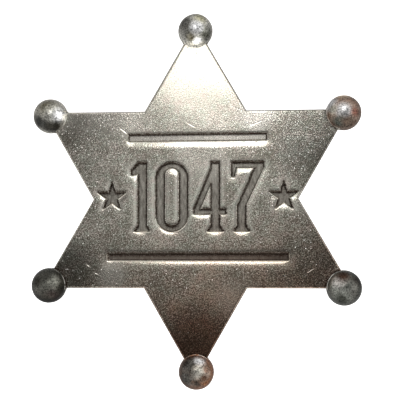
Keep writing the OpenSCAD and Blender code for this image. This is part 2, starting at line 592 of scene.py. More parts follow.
        # The grimy line of painted shade along the walls is ragged.
        patchy = add(tree, "MapRange", read["specks"], 0.35, 0.6, 1.5, 0.85)
        dirt_and_shade = add(tree, "Math", read["grime_and_shade"], patchy, operation="MULTIPLY")
        return found + [(read["glint"], "MIX", linear("#FFFFFF")),
                        (scratched, "MIX", linear(self.metal)),
                        (dirt_and_shade, "MIX", linear(self.soot_and_shade))]

    def material(self) -> Material:
        """Builds the node material.

        Returns:
            The material.
        """
        material, tree = new_material("struck_antique_nickel")
        read = self.shared(tree)
        read["glint"] = self.glints(tree, read)
        read["scratch"] = self.scratch_mask(tree, read)
        colour = self.plating(tree, read)
        for share, blend, tint in self.layers(tree, read):
            colour = add(tree, "Mix", share, colour, tint, data_type="RGBA", blend_type=blend)

        # Glints and the grimy lines of painted shade are rougher, so they pick up light from a wider
        # angle.
        rough = self.roughness
        for name, more in (("glint", 0.1), ("grime_and_shade", 0.3)):
            rough = add(tree, "Math", read[name], more, rough, operation="MULTIPLY_ADD")
        # Pebbles on the open face, facets that stand out and scratches that are grooves.
        calm = add(tree, "Math", read["smooth"], -0.85, 1.0, operation="MULTIPLY_ADD")
        relief = read["pebbles"]
        for share in (read["open"], calm):
            relief = add(tree, "Math", relief, share, operation="MULTIPLY")
        normal = None
        for height, depth, invert in ((relief, 0.013, False), (read["glint"], 0.04, False),
                                      (read["scratch"], 0.022, True)):
            normal = add(tree, "Bump", Height=height, Distance=depth * MM, invert=invert, Normal=normal)
        shader = add(tree, "BsdfPrincipled", colour, 1.0, rough, Normal=normal)
        add(tree, "OutputMaterial", shader)
        return material


@dataclass(frozen=True)
class Patch:
    """A place on a ball with its own colour: tarnish and copper, painted highlights and painted shade.

    Attributes:
        way: Direction from the ball's centre, as a unit vector.
        reach: How far it reaches, in ball radii.
        colour: Its colour.
        roughness: Its roughness.
    """

    way: tuple[float, float, float]
    reach: float
    colour: str
    roughness: float = 0.4


@dataclass(frozen=True)
class BallNickel:
    """Worn nickel on a turned ball, with painted highlights and painted shade in its colour.

    The balls are smoother than the face, so they hold soft reflections, and handling has worn
    the plating to a mottle with copper showing through on some of them; patches of colour over it
    paint highlights and shade.

    Attributes:
        name: Which ball it is for.
        metal: Colour of the plating, which with the patches also holds painted highlights and shade.
        seam: How much grimy, painted shade lies on the plate along the ball.
        lip: How bright the lip round the slot is, worn bright and painted as a highlight.
        patches: Places of tarnish and copper, and painted highlights and painted shade.
        roughness: Roughness of the plating.
        lip_metal: Colour of the lip where it is worn bright, which also paints its highlight.
    """

    name: str
    metal: str
    seam: float
    lip: float
    patches: tuple[Patch, ...]
    roughness: float = 0.38
    lip_metal: str = "#F4F0E6"

    @property
    def node(self) -> str:
        """Name of the ball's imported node."""
        return f"ball_tip_{self.name}"

    def material(self) -> Material:
        """Builds the node material.

        Returns:
            The material.
        """
        centre, radius = ball_place(self.node)
        material, tree = new_material(f"worn_nickel_with_painted_light_{self.name}")
        place = add(tree, "TexCoord", out="Object")
        # Specks are drawn a little coarser than real, or they would be too fine to show.
        mottle = add(tree, "TexNoise", place, per_metre(1.3), 5.0, 0.62)
        specks = add(tree, "TexNoise", place, per_metre(0.3), 2.0, 0.8)
        ragged = add(tree, "Math", mottle, 0.35, -0.175, operation="MULTIPLY_ADD")
        colour = linear(self.metal)
        rough = add(tree, "MapRange", mottle, 0.3, 0.7, self.roughness - 0.05, self.roughness + 0.08)
        # The white patches paint highlights, the near-black ones mostly paint shade, and the brown ones
        # are tarnish and copper.
        for patch in self.patches:
            spot = soft_spot(tree, place, centre + Vector(patch.way) * radius,
                             (patch.reach * radius,) * 3)
            edge = add(tree, "Math", spot, ragged, operation="ADD")
            mask = add(tree, "MapRange", edge, -0.1, 0.8, interpolation_type="SMOOTHSTEP")
            colour = add(tree, "Mix", mask, colour, linear(patch.colour), data_type="RGBA")
            rough = add(tree, "Mix", mask, rough, patch.roughness, data_type="FLOAT")
        shade = add(tree, "MapRange", specks, 0.38, 0.57, 0.24)
        # The lip round the slot is worn to bright metal, more here and less there, which also paints a
        # bright highlight line along it.
        rim = add(tree, "Attribute", attribute_name="lip", out="Fac")
        painted_sheen = add(tree, "MapRange", mottle, 0.4, 0.55, 0.0, self.lip)
        lip = add(tree, "Math", rim, painted_sheen, operation="MULTIPLY")
        for share, blend, tint in ((1.0, "MULTIPLY", shade), (lip, "MIX", linear(self.lip_metal))):
            colour = add(tree, "Mix", share, colour, tint, data_type="RGBA", blend_type=blend)
        normal = add(tree, "Bump", Height=specks, Distance=0.008 * MM)
        shader = add(tree, "BsdfPrincipled", colour, 1.0, rough, Normal=normal)
        add(tree, "OutputMaterial", shader)
        return material


@dataclass(frozen=True)
class PlatedSteel:
    """Plain plated steel wire and strip, drawn and then tumbled.

    Attributes:
        metal: Colour of the plating.
        dull: Colour where it has dulled.
        roughness: Roughness of the cleanest metal.
    """

    metal: str = "#C9C5BC"
    dull: str = "#98938A"
    roughness: float = 0.3

    def material(self) -> Material:
        """Builds the node material.

        Returns:
            The material.
        """
        material, tree = new_material("plated_steel")
        place = add(tree, "TexCoord", out="Object")
        # Drawing lines run along the wire, which lies along X.
        drawn = add(tree, "Mapping", place, Scale=(0.08, 1, 1))
        lines = add(tree, "TexNoise", drawn, per_metre(0.25), 3.0, 0.6)
        stains = add(tree, "TexNoise", place, per_metre(2.0), 4.0, 0.6)
        colour = add(tree, "Mix", stains, linear(self.metal), linear(self.dull), data_type="RGBA")
        rough = add(tree, "MapRange", lines, 0.3, 0.7, self.roughness, self.roughness + 0.15)
        normal = add(tree, "Bump", Height=lines, Distance=0.008 * MM)
        shader = add(tree, "BsdfPrincipled", colour, 1.0, rough, Normal=normal)
        add(tree, "OutputMaterial", shader)
        return material


class Piece(ABC):
    """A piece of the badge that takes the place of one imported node.

    Attributes:
        slot: Its material slot.
        node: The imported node.
    """

    slot: Slot
    node: str

    @abstractmethod
    def mesh(self) -> Object:
        """Builds its bare mesh object."""

    @abstractmethod
    def material(self) -> Material:
        """Builds its finish."""

    def build(self) -> Object:
        """Builds the piece, with its finish and its place in the frame.

        Returns:
            The piece.
        """
        piece = self.mesh()
        piece.data.materials.append(self.material())
        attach(piece, BODY)
        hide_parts(self.node)
        return piece


@dataclass
class StarPlate(Piece):
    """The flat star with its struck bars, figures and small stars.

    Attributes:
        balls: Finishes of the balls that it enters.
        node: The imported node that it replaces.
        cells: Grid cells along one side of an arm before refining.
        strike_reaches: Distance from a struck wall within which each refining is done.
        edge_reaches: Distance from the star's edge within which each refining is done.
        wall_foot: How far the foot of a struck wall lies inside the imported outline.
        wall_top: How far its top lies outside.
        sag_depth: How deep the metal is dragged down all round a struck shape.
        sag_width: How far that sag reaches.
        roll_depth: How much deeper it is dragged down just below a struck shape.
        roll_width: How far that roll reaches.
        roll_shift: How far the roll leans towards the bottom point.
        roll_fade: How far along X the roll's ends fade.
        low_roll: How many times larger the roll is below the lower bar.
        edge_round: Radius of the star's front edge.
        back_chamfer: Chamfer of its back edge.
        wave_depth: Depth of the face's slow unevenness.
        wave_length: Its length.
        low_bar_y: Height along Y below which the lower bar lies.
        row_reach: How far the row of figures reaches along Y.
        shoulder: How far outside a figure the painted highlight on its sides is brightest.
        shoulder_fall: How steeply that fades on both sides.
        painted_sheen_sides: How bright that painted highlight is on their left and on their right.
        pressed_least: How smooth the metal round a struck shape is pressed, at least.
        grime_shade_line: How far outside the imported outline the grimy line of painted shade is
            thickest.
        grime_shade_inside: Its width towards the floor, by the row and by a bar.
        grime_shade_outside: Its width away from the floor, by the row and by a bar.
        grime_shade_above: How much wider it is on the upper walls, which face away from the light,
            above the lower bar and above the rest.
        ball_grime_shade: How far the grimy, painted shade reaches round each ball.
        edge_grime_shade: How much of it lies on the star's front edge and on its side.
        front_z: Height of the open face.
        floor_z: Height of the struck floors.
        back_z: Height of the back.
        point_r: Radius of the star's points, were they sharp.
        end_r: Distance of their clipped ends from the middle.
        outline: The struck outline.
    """

    balls: tuple[BallNickel, ...]
    node: str = "star_plate"
    cells: int = 24
    strike_reaches: tuple[float, ...] = (2.4 * MM, 1.45 * MM, 0.3 * MM)
    edge_reaches: tuple[float, ...] = (1.5 * MM, 0.9 * MM, 0.42 * MM)
    wall_foot: float = 0.13 * MM
    wall_top: float = 0.26 * MM
    sag_depth: float = 0.05 * MM
    sag_width: float = 0.5 * MM
    roll_depth: float = 0.15 * MM
    roll_width: float = 1.6 * MM
    roll_shift: float = 0.5 * MM
    roll_fade: float = 0.95 * MM
    low_roll: float = 1.35
    edge_round: float = 0.35 * MM
    back_chamfer: float = 0.15 * MM
    wave_depth: float = 0.03 * MM
    wave_length: float = 9 * MM
    low_bar_y: float = -8.0 * MM
    row_reach: float = 9.0 * MM
    shoulder: float = 0.45 * MM
    shoulder_fall: float = 0.9
    painted_sheen_sides: tuple[float, float] = (1.0, 0.5)
    pressed_least: float = 0.6
    grime_shade_line: float = 0.04 * MM
    grime_shade_inside: tuple[float, float] = (0.34 * MM, 0.26 * MM)
    grime_shade_outside: tuple[float, float] = (0.26 * MM, 0.16 * MM)
    grime_shade_above: tuple[float, float] = (0.3 * MM, 0.18 * MM)
    ball_grime_shade: float = 0.28 * MM
    edge_grime_shade: tuple[float, float] = (0.6, 0.35)
    front_z: float = field(init=False)
    floor_z: float = field(init=False)
    back_z: float = field(init=False)
    point_r: float = field(init=False)
    end_r: float = field(init=False)
    outline: StruckOutline = field(init=False)
    slot = Slot.PLATE

    def __post_init__(self) -> None:
        """Reads the plate's levels, its radii and the struck outline from the frame."""
        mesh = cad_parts[self.node].data
        corners = np.array([v.co for v in mesh.vertices])
        levels = np.unique(np.round(corners[:, 2], 6))
        self.back_z, self.floor_z, self.front_z = levels[0], levels[-2], levels[-1]
        back = corners[np.abs(corners[:, 2] - self.back_z) < SAME]
        self.point_r = float(np.hypot(back[:, 0], back[:, 1]).min()) * math.sqrt(3)
        self.end_r = float(back[:, 1].max())
        self.outline = StruckOutline.from_mesh(mesh, self.floor_z)

    def edge_distance(self, points: np.ndarray) -> np.ndarray:
        """Works out how far points lie inside the star's sides.

        Args:
            points: Rows of x and y.

        Returns:
            One distance a point, 0 on a side.
        """
        turn = np.arctan2(points[:, 1], points[:, 0])
        arm = (np.floor(turn / ARM_STEP) + 0.5) * ARM_STEP
        sides = [
            self.point_r / 2
            - points[:, 0] * np.cos(arm + lean) - points[:, 1] * np.sin(arm + lean)
            for lean in (-ARM_STEP, ARM_STEP)
        ]
        return np.minimum(*sides)

    def relief(self, points: np.ndarray, gap: np.ndarray) -> np.ndarray:
        """Works out the height of the face.

        Args:
            points: Rows of x and y.
            gap: Distance of each point outside the struck floors.

        Returns:
            One height a point, from 0 on the open face downwards.
        """
        larger = np.where(points[:, 1] < self.low_bar_y, self.low_roll, 1.0)
        asides = (-1.0, -0.5, 0.0, 0.5, 1.0)
        near = np.zeros(len(points))
        for aside in asides:
            moved = points + (aside * self.roll_fade, self.roll_shift)
            leaning = self.outline.distance(moved) + self.roll_shift
            near += np.clip(1 - leaning / self.roll_width / larger, 0, 1) / len(asides)
        roll = self.roll_depth * larger * near ** 2
        roll += self.sag_depth * np.clip(1 - gap / self.sag_width, 0, 1) ** 2
        climb = np.clip((gap + self.wall_foot) / (self.wall_foot + self.wall_top), 0, 1)
        strike = self.front_z - self.floor_z
        struck = -strike + (strike - roll) * (1 - (1 - climb) ** 2)
        inset = np.clip(self.edge_distance(points), 0, self.edge_round)
        rounding = self.edge_round - np.sqrt(
            self.edge_round ** 2 - (self.edge_round - inset) ** 2)
        return struck - rounding

    def wear_and_painted_light(self, points: np.ndarray, gap: np.ndarray) -> dict[str, np.ndarray]:
        """Works out where the die and the years have changed the metal, and where light and shade are
        painted on it.

        Args:
            points: Rows of x and y.
            gap: Distance of each point outside the struck floors.

        Returns:
            Shares from 0 to 1: recess on the struck floors, grime along every wall but the
            lower ones, round each ball and on the star's rounded edge, pressed on the
            smooth metal round a struck shape, most of all just below it, and rubbed on the
            metal beside the figures, mostly on their left.
        """
        step = 0.05 * MM
        north, east = ((self.outline.distance(points + shift) - gap) / step
                       for shift in ((0, step), (step, 0)))
        facing_up = np.clip(-north, 0, 1)
        in_row = np.abs(points[:, 1]) < self.row_reach

        # A grimy line along the walls that is also painted shade: wider on the upper walls, which face
        # away from the light, and left off the lower walls, which face it.
        across = gap - self.grime_shade_line
        above = np.clip(north, 0, 1) * np.where(points[:, 1] < self.low_bar_y, *self.grime_shade_above)
        width = above + np.where(across < 0, np.where(in_row, *self.grime_shade_inside),
                                 np.where(in_row, *self.grime_shade_outside))
        line = np.exp(-((across / width) ** 2)) * (1 - facing_up)
        # Grimy, painted shade on the star's rounded front edge.
        edge = self.edge_grime_shade[0] * np.exp(-((self.edge_distance(points)
                                              / self.edge_round) ** 2))
        grime_and_shade = [line, edge]
        # Grimy, painted shade on the plate where each ball meets it.
        for finish in self.balls:
            middle, radius = ball_place(finish.node)
            reach = np.hypot(*(points - middle.xy).T) - radius - self.ball_grime_shade
            grime_and_shade.append(finish.seam * np.exp(-np.maximum(reach / self.ball_grime_shade, 0) ** 2))

        near = np.clip(1 - gap / self.roll_width, 0, 1)
        # Painted highlight on the metal beside the figures, brightest to their left, where the slope
        # faces the light from the right.
        beside = np.interp(east, (-1, 1), self.painted_sheen_sides) * np.clip(1 - north ** 2, 0, 1)
        painted_sheen = beside * np.exp(-self.shoulder_fall * (gap / self.shoulder - 1) ** 2)
        return {"recess": np.clip(-gap / self.wall_foot, 0, 1), "grime_and_shade": np.maximum.reduce(grime_and_shade),
                "pressed": np.where(gap > 0, near * np.maximum(facing_up, self.pressed_least), 0),
                "painted_sheen": np.where((gap > 0) & in_row, painted_sheen, 0)}

    def star_grid(self) -> BMesh:
        """Makes the flat star from six sheared grids, one for each arm.

        Returns:
            The flat star.
        """
        bm = bmesh.new()
        bmesh.ops.create_grid(bm, x_segments=self.cells, y_segments=self.cells, size=0.5)
        notch_r = self.point_r / math.sqrt(3)
        right, left = unit(0) * notch_r, unit(ARM_STEP) * notch_r
        shear = Matrix(((right.x, left.x, 0, 0), (right.y, left.y, 0, 0), (0, 0, 1, 0), (0, 0, 0, 1)))
        bmesh.ops.transform(bm, matrix=shear @ Matrix.Translation((0.5, 0.5, 0)), verts=bm.verts)
        bmesh.ops.spin(bm, geom=whole(bm), axis=(0, 0, 1), angle=ARM_STEP * (ARMS - 1),
                       steps=ARMS - 1, use_duplicate=True)
        bmesh.ops.remove_doubles(bm, verts=bm.verts, dist=SAME)
        return bm

    def refine(self, bm: BMesh) -> None:
        """Subdivides the grid near the struck walls and the star's sides.

        Args:
            bm: The flat star.
        """
        for strike_reach, edge_reach in zip(self.strike_reaches, self.edge_reaches):
            centres = np.array([f.calc_center_median().xy[:] for f in bm.faces])
            near = (np.abs(self.outline.distance(centres)) < strike_reach) | (
                self.edge_distance(centres) < edge_reach)
            bm.faces.ensure_lookup_table()
            edges = {e for i in np.flatnonzero(near) for e in bm.faces[i].edges}
            bmesh.ops.subdivide_edges(bm, edges=list(edges), cuts=1, use_grid_fill=True)

    def snap_to_level(self, bm: BMesh, level: float, held: set[int]) -> None:
        """Moves the vertices nearest to one distance from the outline onto it, and joins them.

        Args:
            bm: The flat star.
            level: The distance outside the struck floors.
            held: Indices of vertices that stay, which the moved ones are added to.
        """
        bm.verts.ensure_lookup_table()
        bm.verts.index_update()
        points = np.array([v.co.xy[:] for v in bm.verts])
        offset = self.outline.distance(points) - level
        chosen = set()
        for edge in bm.edges:
            a, b = edge.verts[0].index, edge.verts[1].index
            if offset[a] * offset[b] < 0:
                pick = a if abs(offset[a]) < abs(offset[b]) else b
                if pick not in held:
                    chosen.add(pick)
        picked = np.array(sorted(chosen))
        step = 0.01 * MM
        for _ in range(3):
            here = points[picked]
            value = self.outline.distance(here) - level
            slope = np.stack([
                self.outline.distance(here + shift) - self.outline.distance(here - shift)
                for shift in ((step, 0), (0, step))], axis=1) / (2 * step)
            size = np.maximum((slope ** 2).sum(1), 0.25)
            points[picked] = here - slope * (value / size)[:, None]
        for i in picked:
            bm.verts[i].co.xy = points[i]
        held.update(chosen)
        bmesh.ops.connect_verts(bm, verts=[bm.verts[i] for i in picked])
        bm.verts.ensure_lookup_table()

    def close_back(self, bm: BMesh) -> None:
        """Draws the border down to the back, chamfers it and fills the back.

        Args:
            bm: The raised face, with an open border.
        """
        for z, inset in ((self.back_z + self.back_chamfer, 0.0), (self.back_z, self.back_chamfer),
                         (self.back_z, 2 * self.back_chamfer)):
            verts = extrude(bm, border(bm))
            shrink = (1 - 2 * inset / self.point_r) / (
                1 - 2 * max(0.0, inset - self.back_chamfer) / self.point_r)
            bmesh.ops.scale(bm, vec=(shrink, shrink, 1), verts=verts)
            for vert in verts:
                vert.co.z = z
                for name, layer in bm.verts.layers.float.items():
                    # The star's side gets grimy, painted shade too.
                    on_side = name == "grime_and_shade" and inset == 0.0
                    vert[layer] = self.edge_grime_shade[1] if on_side else 0.0
        bmesh.ops.contextual_create(bm, geom=border(bm))

    def mesh(self) -> Object:
        """Builds the plate's mesh with its relief and the attributes its finish reads.

        Returns:
            The plate's bare object.
        """
        bm = self.star_grid()
        self.refine(bm)
        held: set[int] = set()
        for level in (-self.wall_foot, self.wall_top):
            self.snap_to_level(bm, level, held)
        for i in range(ARMS):
            way = unit(FIRST_ARM + i * ARM_STEP)
            bmesh.ops.bisect_plane(bm, geom=whole(bm), plane_co=way * self.end_r, plane_no=way,
                                   clear_outer=True)
        points = np.array([v.co.xy[:] for v in bm.verts])
        gap = self.outline.distance(points)
        heights = self.relief(points, gap)
        waves = [noise.noise(Vector((x, y, 0)) / self.wave_length) for x, y in points]
        heights += self.wave_depth * (np.array(waves) - 1)
        for vert, height in zip(bm.verts, heights):
            vert.co.z = self.front_z + height
        for name, values in self.wear_and_painted_light(points, gap).items():
            layer = bm.verts.layers.float.new(name)
            for vert, value in zip(bm.verts, values):
                vert[layer] = float(value)
        self.close_back(bm)
        return finish_mesh(bm, "struck_star", 38)

    def material(self) -> Material:
        """Builds the plate's finish."""
        return StruckNickel(self.front_z).material()


@dataclass
class BallTip(Piece):
    """One ball, slotted over a point of the star.

    Attributes:
        finish: The ball's own finish.
        arm: Number of the arm that it sits on, counted from the upper right.
        plate: The plate that it grips.
        slot_gap: Clearance between the point and its slot.
        lip_height: Height of the lip that stands round the slot's mouth.
        lip_reach: How far the lip stands out of the ball.
        lip_lean: How far the lip drops towards the plate over its reach.
        unevenness: How far handling has pushed the ball out of round.
        dent_size: Size of its dents.
        least_edge: Length under which edges at the slot's mouth are merged.
        node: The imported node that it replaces.
        half: Half the slot's height.
        cut_half: Half the height of its mouth, lip and all.
        tip: Where the slot's sides would meet, in the arm's own frame.
        cut_tip: Where the mouth's sides would meet.
    """

    finish: BallNickel
    arm: int
    plate: StarPlate
    slot_gap: float = 0.05 * MM
    lip_height: float = 0.2 * MM
    lip_reach: float = 0.14 * MM
    lip_lean: float = 0.03 * MM
    unevenness: float = 0.03 * MM
    dent_size: float = 2.6 * MM
    least_edge: float = 0.03 * MM
    node: str = field(init=False)
    half: float = field(init=False)
    cut_half: float = field(init=False)
    tip: Vector = field(init=False)
    cut_tip: Vector = field(init=False)
    slot = Slot.BALL

    def __post_init__(self) -> None:
        """Works out the slot, which is a wedge that runs to a point."""
        plate = self.plate
        self.node = self.finish.node
        self.half = (plate.front_z - plate.back_z) / 2 + self.slot_gap
        self.cut_half = self.half + self.lip_height
        self.tip = Vector((plate.point_r + 2 * self.slot_gap, 0, (plate.front_z + plate.back_z) / 2))
        self.cut_tip = self.tip + Vector((2 * self.lip_height, 0, 0))

    def cut_slot(self, bm: BMesh) -> None:
        """Opens the slot, as wide as its lip.

        Args:
            bm: The ball in the arm's frame.
        """
        planes = [(self.cut_tip + Vector((0, 0, side * self.cut_half)), Vector((0, 0, 1)))
                  for side in (-1, 1)]
        planes += [(self.cut_tip, Vector((math.sin(HALF_POINT), side * math.cos(HALF_POINT), 0)))
                   for side in (-1, 1)]
        for point, normal in planes:
            bmesh.ops.bisect_plane(bm, geom=whole(bm), plane_co=point, plane_no=normal)
        cut = []
        for face in bm.faces:
            at = face.calc_center_median() - self.cut_tip
            if abs(at.z) < self.cut_half and abs(at.y) < -at.x * math.tan(HALF_POINT):
                cut.append(face)
        bmesh.ops.delete(bm, geom=cut, context="FACES")
        rim = [v for v in bm.verts if v.is_boundary]
        doubles = bmesh.ops.find_doubles(bm, verts=bm.verts, keep_verts=rim, dist=self.least_edge)
        bmesh.ops.weld_verts(bm, targetmap=doubles["targetmap"])

    def form_lip(self, bm: BMesh, middle_x: float) -> None:
        """Draws the lip out of the ball and in to the slot, and the slot on to its end.

        Args:
            bm: The ball in the arm's frame, cut open.
            middle_x: Where its middle lies.
        """
        lip = bm.verts.layers.float.new("lip")
        for vert in extrude(bm, border(bm)):
            way = Vector((vert.co.x - middle_x, vert.co.y, 0)).normalized()
            vert.co += way * self.lip_reach
            vert.co.z -= math.copysign(self.lip_lean, vert.co.z - self.tip.z)
            vert[lip] = 1.0
        lip_edges = border(bm)
        for vert in extrude(bm, lip_edges):
            vert.co.z = self.tip.z + (vert.co.z - self.tip.z) * self.half / self.cut_half
            vert.co.y *= (self.tip.x - vert.co.x) / (self.cut_tip.x - vert.co.x)
        inner_edges = border(bm)
        end_x = self.plate.end_r + self.slot_gap
        for vert in extrude(bm, inner_edges):
            vert.co.y *= (self.tip.x - end_x) / (self.tip.x - vert.co.x)
            vert.co.x = end_x
        bmesh.ops.contextual_create(bm, geom=border(bm))
        bmesh.ops.recalc_face_normals(bm, faces=bm.faces[:])
        soften(bm, lip_edges + inner_edges, self.lip_reach * 0.4, 2, clamp=True)

    def mesh(self) -> Object:
        """Builds the ball's mesh: an uneven sphere, its slot and the lip round its mouth.

        Returns:
            The ball's bare object.
        """
        centre, radius = ball_place(self.node)
        to_arm = Matrix.Rotation(-(FIRST_ARM + self.arm * ARM_STEP), 4, "Z")
        bm = bmesh.new()
        bmesh.ops.create_icosphere(bm, subdivisions=6, radius=radius)
        seed = Vector((self.arm * 7.3, 1.7, 4.1))
        for vert in bm.verts:
            push = noise.noise(vert.co / self.dent_size + seed)
            vert.co += vert.co.normalized() * self.unevenness * (push - 0.5)
        bmesh.ops.translate(bm, vec=centre, verts=bm.verts)
        bmesh.ops.transform(bm, matrix=to_arm, verts=bm.verts)
        self.cut_slot(bm)
        self.form_lip(bm, math.hypot(centre.x, centre.y))
        bmesh.ops.transform(bm, matrix=to_arm.inverted(), verts=bm.verts)
        return finish_mesh(bm, f"ball_{self.finish.name}", 40)

    def material(self) -> Material:
        """Builds the ball's finish."""
        return self.finish.material()


@dataclass
class BroochPin(Piece):
    """The hidden pin on the back: two soldered feet, a hinge, a drawn wire and a rolled catch.

    Attributes:
        node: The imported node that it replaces.
        line_y: Where the wire lies along Y.
        hinge_x: Middle of the hinge's foot.
        catch_x: Middle of the catch's foot.
        tip_x: The wire's sharp end.
        seat_z: Top of the feet, next to the plate's back.
        wire_z: Height of the wire's middle.
        wire_r: Radius of the wire.
        taper: Length of the sharpened end.
        foot: Side and thickness of a foot.
        foot_corner: Radius of its corners.
        barrel: Length and radius of the hinge barrel.
        groove: Distance of the grooves between its knuckles from its middle.
        catch: Width, thickness and outer radius of the catch's strip.
        catch_z: Height of the middle of the catch's bend.
    """

    node: str = "brooch_pin"
    line_y: float = 6.0 * MM
    hinge_x: float = -13.5 * MM
    catch_x: float = 13.5 * MM
    tip_x: float = 18.0 * MM
    seat_z: float = 2.6 * MM
    wire_z: float = 0.97 * MM
    wire_r: float = 0.45 * MM
    taper: float = 3.0 * MM
    foot: tuple[float, float] = (5.0 * MM, 0.5 * MM)
    foot_corner: float = 0.7 * MM
    barrel: tuple[float, float] = (4.0 * MM, 0.8 * MM)
    groove: float = 0.62 * MM
    catch: tuple[float, float, float] = (3.0 * MM, 0.4 * MM, 0.97 * MM)
    catch_z: float = 1.12 * MM
    slot = Slot.PIN

    @staticmethod
    def turned(profile: list[tuple[float, float]], turn: float, middle: Vector,
               steps: int = 32) -> BMesh:
        """Turns a profile round its axis.

        Args:
            profile: Points along the axis with their radii, from pole to pole.
            turn: Angle of the axis from +X.
            middle: Where the profile's origin goes.
            steps: Facets round the axis.

        Returns:
            The closed shape.
        """
        part = bmesh.new()
        verts = [part.verts.new((along, 0, radius)) for along, radius in profile]
        for a, b in zip(verts, verts[1:]):
            part.edges.new((a, b))
        bmesh.ops.spin(part, geom=whole(part), axis=(1, 0, 0), angle=math.tau, steps=steps,
                       use_merge=True)
        bmesh.ops.remove_doubles(part, verts=part.verts, dist=SAME)
        place = Matrix.Translation(middle) @ Matrix.Rotation(turn, 4, "Z")
        bmesh.ops.transform(part, matrix=place, verts=part.verts)
        return part

    @staticmethod
    def block(spans: tuple[float, float, float], middle: Vector, corner: float) -> BMesh:
        """Makes a block with rounded upright corners and softened lower edges.

        Args:
            spans: Its sizes along X, Y and Z.
            middle: Its middle.
            corner: Radius of the upright corners.

        Returns:
            The block.
        """
        part = bmesh.new()
        bmesh.ops.create_cube(part, size=1.0)
        bmesh.ops.scale(part, vec=spans, verts=part.verts)
        upright = [e for e in part.edges if e.verts[0].co.z * e.verts[1].co.z < 0]
        soften(part, upright, corner, 5)
        lower = [e for e in part.edges if max(v.co.z for v in e.verts) < 0]
        soften(part, lower, min(0.1 * MM, corner / 2), 2)
        bmesh.ops.translate(part, vec=middle, verts=part.verts)
        return part

    def soldered_foot(self, x: float) -> BMesh:
        """Makes one foot, whose rim flares into a bead of solder next to the plate.

        Args:
            x: Its middle.

        Returns:
            The foot.
        """
        side, thick = self.foot
        middle = Vector((x, self.line_y, self.seat_z - thick / 2))
        part = self.block((side, side, thick), middle, self.foot_corner)
        for share in (0.12, 0.4):
            bmesh.ops.bisect_plane(part, geom=whole(part), plane_no=(0, 0, 1),
                                   plane_co=(0, 0, self.seat_z - share * thick))
        for share, flare in ((0.125, 1.1), (0.0125, 1.03)):
            ring = [v for v in part.verts if v.co.z > self.seat_z - share * thick]
            bmesh.ops.scale(part, vec=(flare, flare, 1), verts=ring, space=Matrix.Translation(-middle))
        return part

    def hinge(self) -> list[BMesh]:
        """Makes the hinge: a barrel of three knuckles with riveted ends, on a block.

        Returns:
            The barrel and the block.
        """
        length, radius = self.barrel
        # Distance from the barrel's end and radius: rivet, knuckle's rim and groove.
        side = [(along * MM - length / 2, r) for along, r in (
            (0, 0.0), (0, 0.3 * MM), (0.08, 0.42 * MM), (0.14, 0.44 * MM),
            (0.14, radius - 0.12 * MM), (0.2, radius - 0.03 * MM), (0.3, radius))]
        side += [(-self.groove - 0.07 * MM, radius), (-self.groove - 0.03 * MM, radius - 0.07 * MM)]
        profile = side + [(-along, r) for along, r in reversed(side)]
        middle = Vector((self.hinge_x, self.line_y, self.wire_z))
        barrel = self.turned(profile, math.pi / 2, middle)
        rise = self.seat_z - self.foot[1] / 2 - self.wire_z
        return [barrel, self.block((2 * radius, length - 0.3 * MM, rise),
                                   middle + Vector((0, 0, rise / 2)), 0.2 * MM)]

    def wire(self) -> BMesh:
        """Makes the wire with its sharpened end.

        Returns:
            The wire.
        """
        start = self.hinge_x + 0.5 * MM
        taper_x = self.tip_x - self.taper
        profile = [(start, 0.0), (start, self.wire_r)]
        profile += [(start + (taper_x - start) * i / 12, self.wire_r) for i in range(1, 13)]
        for share in (0.25, 0.5, 0.75, 0.92, 0.985):
            radius = self.wire_r * math.cos(share * math.pi / 2) ** 0.9
            profile.append((taper_x + self.taper * share, max(radius, 0.06 * MM)))
        profile.append((self.tip_x, 0.0))
        return self.turned(profile, 0.0, Vector((0, self.line_y, self.wire_z)), steps=24)

    def rolled_catch(self) -> BMesh:
        """Makes the catch: a strip bent under the wire, with one side up to its foot.

        Returns:
            The catch.
        """
        width, thick, outer = self.catch
        part = bmesh.new()
        bmesh.ops.create_grid(part, x_segments=1, y_segments=1, size=0.5)
        bmesh.ops.scale(part, vec=(width, thick, 1), verts=part.verts)
        middle = Vector((self.catch_x, self.line_y, self.catch_z))
        bmesh.ops.translate(part, vec=middle - Vector((0, outer - thick / 2, 0)), verts=part.verts)
        bmesh.ops.delete(part, geom=part.faces[:], context="FACES_ONLY")
        start = part.edges[:]
        bmesh.ops.spin(part, geom=whole(part), cent=middle, axis=(1, 0, 0), angle=math.pi, steps=20)
        rise = self.seat_z - self.foot[1] / 2 - self.catch_z
        bmesh.ops.translate(part, vec=(0, 0, rise), verts=extrude(part, start))
        bmesh.ops.holes_fill(part, edges=border(part), sides=4)
        bmesh.ops.recalc_face_normals(part, faces=part.faces[:])
        soften(part, [e for e in part.edges if e.calc_face_angle(0.0) > 1.0], 0.09 * MM, 3)
        return part

    def mesh(self) -> Object:
        """Builds the pin's mesh from its parts, which overlap where they are soldered.

        Returns:
            The pin's bare object.
        """
        parts = [self.soldered_foot(self.hinge_x), self.soldered_foot(self.catch_x),
                 *self.hinge(), self.wire(), self.rolled_catch()]
        bm = bmesh.new()
        for part in parts:
            mesh = bpy.data.meshes.new("part")
            part.to_mesh(mesh)
            part.free()
            bm.from_mesh(mesh)
            bpy.data.meshes.remove(mesh)
        return finish_mesh(bm, "hidden_pin", 35)

    def material(self) -> Material:
        """Builds the pin's finish."""
        return PlatedSteel().material()


